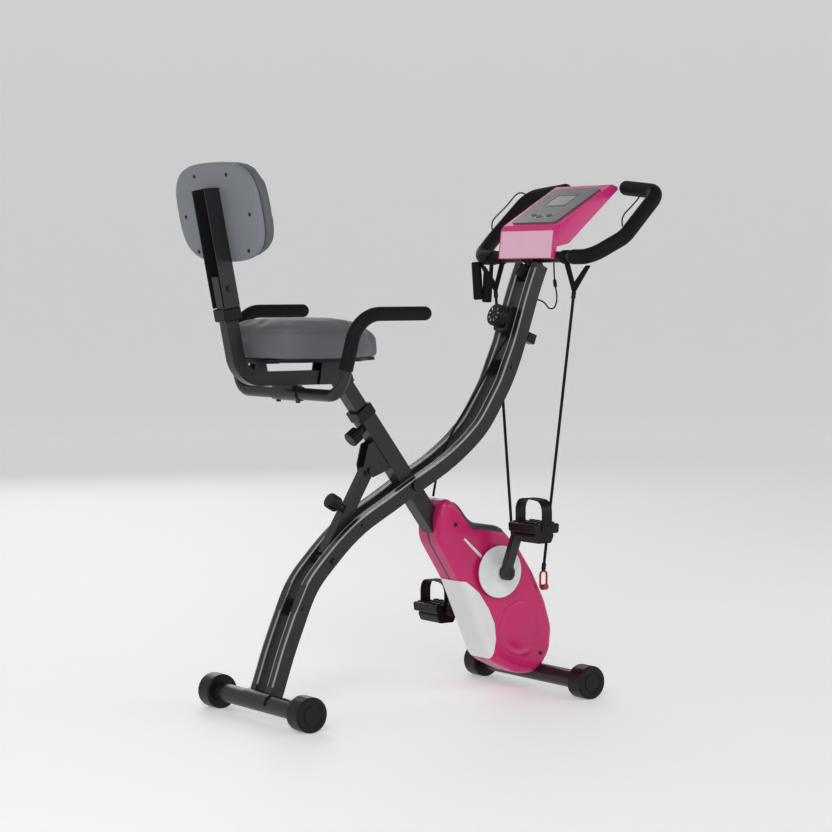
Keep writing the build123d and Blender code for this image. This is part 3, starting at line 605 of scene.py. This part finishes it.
def swell(piece, voxel, limit, still):
    """Remeshes a pad on an even grid, blows it up as cloth and lets no point go further than `limit`.

    A point's move is its direction times limit times the hyperbolic tangent of its length over limit.
    `still` says which points stay where they are.
    """
    scene = bpy.context.scene
    remesh = piece.modifiers.new("Remesh", "REMESH")
    remesh.mode = "VOXEL"
    remesh.voxel_size = voxel
    remesh.use_smooth_shade = True
    bpy.context.view_layer.update()
    even_mesh = bpy.data.meshes.new_from_object(piece.evaluated_get(bpy.context.evaluated_depsgraph_get()))
    piece.modifiers.clear()
    piece.data = even_mesh
    start = vertices(piece)
    held = piece.vertex_groups.new(name="held")
    held.add(np.flatnonzero(still(start)).tolist(), 1.0, "REPLACE")
    cloth = piece.modifiers.new("Cloth", "CLOTH")
    cloth.settings.quality = 6
    cloth.settings.use_pressure = True
    cloth.settings.uniform_pressure_force = PAD_PRESSURE
    cloth.settings.vertex_group_mass = held.name
    cloth.settings.effector_weights.gravity = 0.0
    cloth.point_cache.frame_start = 1
    cloth.point_cache.frame_end = PAD_FRAMES
    for step in range(1, PAD_FRAMES + 1):
        scene.frame_set(step)
    blown = bpy.data.meshes.new_from_object(piece.evaluated_get(bpy.context.evaluated_depsgraph_get()))
    after = np.empty(len(blown.vertices) * 3)
    blown.vertices.foreach_get("co", after)
    piece.modifiers.clear()
    scene.frame_set(1)
    move = after.reshape(-1, 3) - start
    size = np.linalg.norm(move, axis=1, keepdims=True) + 1e-12
    start = start + move / size * limit * np.tanh(size / limit)
    piece.data.vertices.foreach_set("co", start.ravel())
    bpy.data.meshes.remove(blown)
    piece.vertex_groups.clear()
    smooth = piece.modifiers.new("Smooth", "SMOOTH")
    smooth.factor = 0.5
    smooth.iterations = 6
    finer = piece.modifiers.new("Subdivision", "SUBSURF")
    finer.levels = 1
    finer.render_levels = 1
    piece.data.polygons.foreach_set("use_smooth", [True] * len(piece.data.polygons))
    piece.data.update()


def welt(name, pad, centre, first, second, heights, radius):
    """Thin seam that runs round a pad, found by looking in at it from all sides.

    A ray goes from outside toward the pad's middle line at each angle, at a height that depends on the
    angle, and a thin tube is carried through the points that it meets.
    """
    bpy.context.view_layer.update()
    shape = pad.evaluated_get(bpy.context.evaluated_depsgraph_get())
    turn = np.arange(160) / 160 * TAU
    out = np.cos(turn)[:, None] * first + np.sin(turn)[:, None] * second
    hits = []
    for direction, height in zip(out, heights(turn)):
        origin = centre + height
        found, spot = shape.ray_cast((origin + direction * 0.5).tolist(), (-direction).tolist())[:2]
        if found:
            hits.append(np.array(spot) + direction * radius * 0.1)
    path = np.array(hits)
    loop = np.roll(path, -1, axis=0)
    run = unit_rows(loop - np.roll(path, 1, axis=0))
    rise = np.cross(first, second)
    side = unit_rows(np.cross(run, rise))
    tilt = np.cross(run, side)
    section = ring(radius, 8)
    grid = path[:, None] + section[None, :, :1] * side[:, None] + section[None, :, 1:] * tilt[:, None]
    return skin(name, np.concatenate([grid, grid[:1]]), caps=False)


def cord(name, route, thick, **facts):
    """Round cord on the smooth spline of a route, as a tube with its own UV map."""
    path = spline_path(place(route))
    path = even(path, thick * 0.6) if len(route) > 4 else even(path, thick * 1.5)
    length = span(path)
    grid = carry(path, ring(thick / 2, 14), CORD_UP)
    piece = skin(name, grid, uv=(1.0, length))
    paint(piece, "black_cord")
    return piece


# ---------------------------------------------------------------- operators


class Maker(bpy.types.Operator):
    """Base of the bike's operators"""

    bl_options = {"REGISTER", "UNDO"}

    def execute(self, context):
        self.make(context.scene.bike_sizes)
        return {"FINISHED"}


def backdrop(distance):
    """Round floor that curves up into a wall on all sides."""
    turn = np.arange(96) / 96 * TAU
    bend_by = np.linspace(0, math.pi / 2, 24)
    reach = np.concatenate([[0.0001, 1, 2, 4, 6.5], distance + BOWL_CURVE * np.sin(bend_by),
                            [distance + float(BOWL_CURVE)]])
    height = np.concatenate([np.zeros(5), BOWL_CURVE - BOWL_CURVE * np.cos(bend_by), [BOWL_TOP]])
    grid = np.stack([reach[:, None] * np.cos(turn), reach[:, None] * np.sin(turn),
                     np.broadcast_to(height[:, None], (len(reach), 96))], axis=-1)
    bowl = skin("backdrop", grid, caps=False)
    paint(bowl, "floor")


def sky():
    """Even white world."""
    world = bpy.data.worlds.new("studio")
    world.use_nodes = True
    world.node_tree.nodes["Background"].inputs["Color"].default_value = (1, 1, 1, 1)
    world.node_tree.nodes["Background"].inputs["Strength"].default_value = SKY_STRENGTH
    return world


def hang_lamp(name, spot, size, power):
    """Square lamp that points at the middle of the bike."""
    light = bpy.data.lights.new(name, "AREA")
    light.size = size
    light.energy = power
    lamp = bpy.data.objects.new(name, light)
    lamp.location = spot
    aim = LAMP_AIM - np.array(spot)
    flat = math.hypot(aim[0], aim[1])
    lamp.rotation_euler = (math.atan2(flat, -aim[2]), 0, math.atan2(-aim[0], aim[1]))
    bpy.context.collection.objects.link(lamp)


def set_camera():
    """Camera at the height of the console, behind the bike's right side."""
    view = bpy.data.cameras.new("camera")
    view.lens = CAMERA_LENS
    view.sensor_width = 36
    view.clip_end = 100
    camera = bpy.data.objects.new("camera", view)
    camera.location = CAMERA_SPOT
    camera.rotation_euler = (math.radians(90 - CAMERA_DIP), 0, math.radians(CAMERA_HEADING))
    bpy.context.collection.objects.link(camera)
    return camera


class BIKE_OT_stage(Maker):
    """Adds the backdrop, the lights and the camera"""

    bl_idname = "bike.stage"
    bl_label = "Stage"

    def make(self, sizes):
        scene = bpy.context.scene
        backdrop(sizes.backdrop)
        scene.world = sky()
        for name, spot, size, power in LAMPS:
            hang_lamp(name, spot, size, power)
        scene.camera = set_camera()
        scene.view_settings.view_transform = "Standard"
        scene.view_settings.gamma = PICTURE_GAMMA


class BIKE_OT_finishes(Maker):
    """Gives each part of the frame its own finish"""

    bl_idname = "bike.finishes"
    bl_label = "Finishes"

    def make(self, sizes):
        others = {"console_panel": "panel_grey", "band_hooks": "red_plastic"}
        for row in frame["record"]["subparts"]:
            node = row["node"]
            paint(frame["nodes"][node], others.get(node, row["material_slot"]))


class BIKE_OT_seat(Maker):
    """Swells the seat cushion from its outline and runs a seam round its top"""

    bl_idname = "bike.seat"
    bl_label = "Seat cushion"

    def make(self, sizes):
        half = np.array(SEAT_SIDE, float)
        loop = np.concatenate([half * [1, -1], half[::-1]])
        outline = closed_curve(loop, 12)
        middle = outline.mean(axis=0)
        reach = np.linalg.norm(outline - middle, axis=1, keepdims=True)
        outline = middle + (outline - middle) * (1 - 1.5 / reach)
        knots = np.array(SEAT_TOP, float)

        def top(flat):
            return np.interp(flat[:, 0], knots[:, 0], knots[:, 1]) - 5 - 0.00035 * flat[:, 1] ** 2

        def lay_out(flat, height):
            return np.column_stack([flat, height])

        pad = pillow("seat_pad", outline, SEAT_SOFT_Z, top, lay_out)
        floor = SEAT_SOFT_Z / 1000
        swell(pad, sizes.voxel, sizes.seat_swell, lambda points: points[:, 2] < floor + 0.006)

        def seam_line(turn):
            dip = SEAM_DIP * np.clip(np.cos(turn), 0, 1) ** 3
            return np.column_stack([0 * turn, 0 * turn, SEAM_HEIGHT - dip])

        seam = welt("seat_seam", pad, place(SEAT_MIDDLE), ALONG, ACROSS, seam_line, sizes.welt / 2)
        for piece in (pad, seam):
            paint(piece, "seat_vinyl")
            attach(piece, "seat_carriage")
        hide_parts("seat_cushion")


class BIKE_OT_backrest(Maker):
    """Swells the backrest's cushion on its board and runs a seam round it"""

    bl_idname = "bike.backrest"
    bl_label = "Backrest cushion"

    def make(self, sizes):
        face = BACK_FOOT + BACK_UP * 194 + BACK_FRONT * 17.5
        outline = oval(320, 204, BACK_SQUARENESS, 120)

        def lay_out(flat, height):
            wide, tall = flat[:, :1] * ACROSS, flat[:, 1:] * BACK_UP
            return face + wide + tall + np.reshape(height, (-1, 1)) * BACK_FRONT

        pad = pillow("backrest_pad", outline, 12.4, lambda flat: np.full(len(flat), 40.0), lay_out)
        base = float(place(face) @ BACK_FRONT) + 0.0124
        swell(pad, sizes.voxel, sizes.back_swell, lambda points: points @ BACK_FRONT < base + 0.004)
        seam = welt("backrest_seam", pad, place(face), ACROSS, BACK_UP,
                    lambda turn: np.broadcast_to(BACK_FRONT * 0.034, (len(turn), 3)), sizes.welt / 2)
        for piece in (pad, seam):
            paint(piece, "seat_vinyl")
            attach(piece, "seat_carriage")
        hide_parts("backrest_cushion")
        board = pillow("backrest_back", oval(322, 206, BACK_SQUARENESS, 120), 12.2,
                       lambda flat: np.full(len(flat), 0.1), lay_out)
        board.data.flip_normals()
        paint(board, "back_vinyl")
        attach(board, "seat_carriage")
        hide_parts("backrest_board")


class BIKE_OT_lines(Maker):
    """Lays fine light lines along the rear corners of the curved tubes: partly the tubes' silver pinstripe,
    partly a painted highlight where the rounded corners catch the light
    """

    bl_idname = "bike.lines"
    bl_label = "Silver lines"

    def make(self, sizes):
        knots = place([(x, 0, z) for x, z in TUBE_LINE])
        line = even(knots, 0.002)
        run = unit_rows(np.gradient(line, axis=0))
        for node, sign in (("curved_tube_right", -1), ("curved_tube_left", 1)):
            points = vertices(frame["nodes"][node])
            for face_y, out in ((0.040, sign), (0.020, -sign)):
                edge = points[np.abs(points[:, 1] - sign * face_y) < 1e-5]
                gap = np.linalg.norm(edge[:, None, ::2] - line[None, :, ::2], axis=-1)
                near = gap.argmin(axis=1)
                away = edge - line[near]
                rear = away[:, 2] * run[near, 0] - away[:, 0] * run[near, 2]
                keep = (rear > 0.0145) & (rear < 0.0175)
                edge, near = edge[keep], near[keep]
                at = near * 0.002 + ((edge - line[near]) * run[near]).sum(axis=1)
                order = np.argsort(at)
                edge, at = edge[order], at[order]
                fresh = np.concatenate([[True], np.diff(at) > 0.0015])
                path = even(edge[fresh], 0.006)[2:-2]
                wide, high = sizes.line, 0.00035
                section = np.array([(-wide, high), (high * 0.4, high), (high, high * 0.4), (high, -wide),
                                    (-0.0001, -wide), (-0.0001, -0.0001), (-wide, -0.0001)])
                tangent = unit_rows(np.gradient(path, axis=0))
                rise = np.column_stack([-tangent[:, 2], 0 * tangent[:, 1], tangent[:, 0]])
                side = np.broadcast_to([0.0, float(out), 0.0], rise.shape)
                sideways = section[None, :, :1] * side[:, None]
                upward = section[None, :, 1:] * rise[:, None]
                grid = path[:, None] + sideways + upward
                if out > 0:
                    grid = grid[:, ::-1]
                where = "outer" if face_y > 0.03 else "inner"
                # Each line is partly pinstripe and partly a painted highlight along the rounded rear corner
                piece = skin(f"line_{where}_{'right' if sign < 0 else 'left'}", grid)
                paint(piece, "silver_line")
                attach(piece, "main_frame")


class BIKE_OT_cords(Maker):
    """Runs the resistance bands and the two cables"""

    bl_idname = "bike.cords"
    bl_label = "Bands and cables"

    def make(self, sizes):
        for side, sign in (("right", 1), ("left", -1)):
            route = np.array(BAND_ROUTE) * [1, sign, 1]
            run = unit_rows(route[-1] - route[0])
            ends = []
            for end, spot, low, high, body in (("top", route[-1], -13, 5, "main_frame"),
                                               ("foot", route[0], -3, 15, "drive_frame")):
                barrel = place(spot + np.linspace(low, high, len(KNOT_RADII))[:, None] * run)
                shape = KNOT_RADII[:, None, None] / 1000
                round_it = carry(barrel, ring(1.0, 20), CORD_UP) - barrel[:, None]
                knot = skin(f"band_{end}_{side}", barrel[:, None] + round_it * shape)
                paint(knot, "black_plastic")
                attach(knot, body)
                ends.append(knot)
            band = cord(f"stretch_band_{side}", route, sizes.band, far_end="object",
                        stiffness="medium", lay="taut", with_pieces=ends)
            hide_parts(f"band_{side}")
            ends = place(route)
            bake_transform(band)
        cable = cord("brake_cable", CABLE_ROUTE, sizes.cable, far_end="object",
                     stiffness="stiff", lay="hanging")
        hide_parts("tension_cable")
        ends = place(CABLE_ROUTE)
        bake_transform(cable)
        path = spline_path(place(SENSOR_ROUTE))
        plug_at = even(path, 0.001)[78:98]
        shape = np.interp(np.arange(20), PLUG_AT, PLUG_RADII)[:, None, None] / 1000
        middle = carry(plug_at, ring(1.0, 18), (0, 1, 0))
        plug = skin("sensor_plug", plug_at[:, None] + (middle - plug_at[:, None]) * shape)
        paint(plug, "black_plastic")
        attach(plug, "main_frame")
        sensor = cord("sensor_lead", SENSOR_ROUTE, sizes.sensor, far_end="object",
                      stiffness="medium", lay="hanging", with_pieces=[plug])
        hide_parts("sensor_cable")
        ends = place(SENSOR_ROUTE)
        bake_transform(sensor)


class BIKE_OT_pulse_wires(Maker):
    """Runs a thin wire from the console along the inner side of each handlebar arm"""

    bl_idname = "bike.pulse_wires"
    bl_label = "Pulse wires"

    def make(self, sizes):
        for side, sign in (("right", -1), ("left", 1)):
            route = np.array(PULSE_ROUTE) * [1, -sign, 1]
            wire = cord(f"pulse_wire_{side}", route, PULSE_WIRE, far_end="object",
                        stiffness="medium", lay="hanging")
            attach(wire, "handlebar")


class BIKE_OT_console(Maker):
    """Adds the console's display and the print round its keys"""

    bl_idname = "bike.console"
    bl_label = "Console face"

    def make(self, sizes):
        plane = (CONSOLE_RUN, ACROSS, CONSOLE_OUT)
        middle = CONSOLE_TOP + CONSOLE_RUN * 104
        pieces = [
            ("console_glass", oval(51.4, 79.4, 26, 96), 2.05, 3.0, middle, "screen_glass"),
            ("console_display", oval(42, 70, 20, 96), 3.0, 3.15, middle + CONSOLE_RUN * 1, "screen_lcd"),
        ]
        for name, outline, low, high, origin, slot in pieces:
            piece = slab(name, outline, low, high, origin, *plane)
            paint(piece, slot)
            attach(piece, "handlebar")
        turn = np.arange(48) / 48 * TAU
        for name, spot in zip(("left", "middle", "right"), BUTTON_ROW):
            rows = []
            for width, height in ((0, KEY_PRINT_LOW), (0, KEY_PRINT_HIGH), (KEY_PRINT_WIDE, KEY_PRINT_HIGH),
                                  (KEY_PRINT_WIDE, KEY_PRINT_LOW), (0, KEY_PRINT_LOW)):
                straight = 4.0 * np.sign(np.sin(turn)) * (np.abs(np.sin(turn)) > 1e-9)
                radius = KEY_PRINT_INNER + width
                flat = np.column_stack([radius * np.cos(turn), radius * np.sin(turn) + straight])
                rows.append(CONSOLE_TOP + (flat[:, :1] + spot[0]) * CONSOLE_RUN
                            + (flat[:, 1:] + spot[1]) * ACROSS + height * CONSOLE_OUT)
            piece = skin(f"key_print_{name}", place(np.stack(rows)[:, ::-1]), caps=False)
            paint(piece, "key_print")
            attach(piece, "handlebar")


class BIKE_OT_dishes(Maker):
    """Turns the round boss that stands over the flywheel on each half of the casing"""

    bl_idname = "bike.dishes"
    bl_label = "Flywheel bosses"

    def make(self, sizes):
        profile = np.array(BOSS_PROFILE)
        turn = np.arange(120) / 120 * TAU
        for side, sign in (("right", -1), ("left", 1)):
            x = BOSS_X + profile[:, :1] * np.cos(turn)
            z = BOSS_Z + profile[:, :1] * np.sin(turn)
            y = np.broadcast_to(sign * (BOSS_FACE + profile[:, 1:]), x.shape)
            grid = np.stack([x, y, z], axis=-1)
            if sign < 0:
                grid = grid[:, ::-1]
            boss = skin(f"casing_boss_{side}", place(grid))
            paint(boss, "pink_shell")
            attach(boss, "drive_frame")


class BIKE_OT_dial(Maker):
    """Prints evenly spaced marks on the tension dial"""

    bl_idname = "bike.dial"
    bl_label = "Dial marks"

    def make(self, sizes):
        rise = np.cross(BOX_BACK, ACROSS)
        for step in range(DIAL_MARKS):
            angle = math.radians(DIAL_START + DIAL_STEP * step)
            out = math.cos(angle) * rise + math.sin(angle) * ACROSS
            side = np.cross(BOX_BACK, out)
            long = 5.5 if step < DIAL_MARKS - 1 else 8.0
            mark = slab(f"dial_mark_{step + 1}", oval(long, 1.3 + 0.12 * step, 8, 24),
                        DIAL_LOW, DIAL_HIGH, BOX_MID + out * DIAL_REACH, out, side, BOX_BACK)
            paint(mark, "key_print")
            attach(mark, "tension_dial")


class BIKE_OT_toe_straps(Maker):
    """Bends a ribbed toe strap over each pedal, with a toothed tail on its outer side"""

    bl_idname = "bike.toe_straps"
    bl_label = "Toe straps"

    def make(self, sizes):
        knots = np.array(STRAP_ARCH)
        half = np.array(STRAP_SECTION)
        for side, sign in (("right", -1), ("left", 1)):
            low, high = (np.array(corner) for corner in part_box(f"pedal_strap_{side}"))
            centre = np.array([(low[0] + high[0]) / 2, (low[1] + high[1]) / 2, high[2] - STRAP_RISE])
            route = np.column_stack([np.full(len(knots), centre[0]), centre[1] + knots[:, 0] / 1000,
                                     centre[2] + knots[:, 1] / 1000])
            path = even(spline_path(route), 0.002)
            run = unit_rows(np.gradient(path, axis=0))
            forward = np.broadcast_to([1.0, 0.0, 0.0], run.shape)
            out = np.cross(forward, run)
            grid = (path[:, None] + half[None, :, :1] / 1000 * forward[:, None]
                    + half[None, :, 1:] / 1000 * out[:, None])
            strap = skin(f"toe_strap_{side}", grid[:, ::-1])
            strap.data.polygons.foreach_set("use_smooth", [False] * len(strap.data.polygons))
            outer = centre[1] + sign * 0.0494
            pieces = [strap]
            for step in range(STRAP_TEETH):
                foot = np.array([centre[0] * 1000 + CENTRE_X, outer * 1000 - sign * 2.2,
                                 centre[2] * 1000 + 6 + 7 * step])
                tooth = slab(f"strap_tooth_{side}_{step + 1}", oval(17, 3.2, 6, 24), 0, 1.4, foot,
                             ALONG, np.array([0, 0, float(-sign)]), sign * ACROSS)
                pieces.append(tooth)
            for piece in pieces:
                paint(piece, "black_plastic")
                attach(piece, f"pedal_{side}")
            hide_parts(f"pedal_strap_{side}")


MAKERS = (BIKE_OT_stage, BIKE_OT_finishes, BIKE_OT_cords, BIKE_OT_pulse_wires, BIKE_OT_seat,
          BIKE_OT_backrest, BIKE_OT_lines, BIKE_OT_console, BIKE_OT_dishes, BIKE_OT_dial, BIKE_OT_toe_straps)


class BIKE_PT_sidebar(bpy.types.Panel):
    """Lists the pieces in the sidebar"""

    bl_idname = "BIKE_PT_sidebar"
    bl_label = "Exercise bike"
    bl_space_type = "VIEW_3D"
    bl_region_type = "UI"
    bl_category = "Bike"

    def draw(self, context):
        for maker in MAKERS:
            self.layout.operator(maker.bl_idname)
        for group in (context.scene.bike_sizes, context.scene.bike_colours):
            for key in type(group).__annotations__:
                self.layout.prop(group, key)


CLASSES = (BikeColours, BikeSizes, *MAKERS, BIKE_PT_sidebar)


def register():
    for entry in CLASSES:
        bpy.utils.register_class(entry)
    bpy.types.Scene.bike_colours = bpy.props.PointerProperty(type=BikeColours)
    bpy.types.Scene.bike_sizes = bpy.props.PointerProperty(type=BikeSizes)


def unregister():
    del bpy.types.Scene.bike_sizes
    del bpy.types.Scene.bike_colours
    for entry in reversed(CLASSES):
        bpy.utils.unregister_class(entry)


def main():
    """Makes everything in order."""
    register()
    for maker in MAKERS:
        group, name = maker.bl_idname.split(".")
        getattr(getattr(bpy.ops, group), name)()


if __name__ == "__main__":
    main()
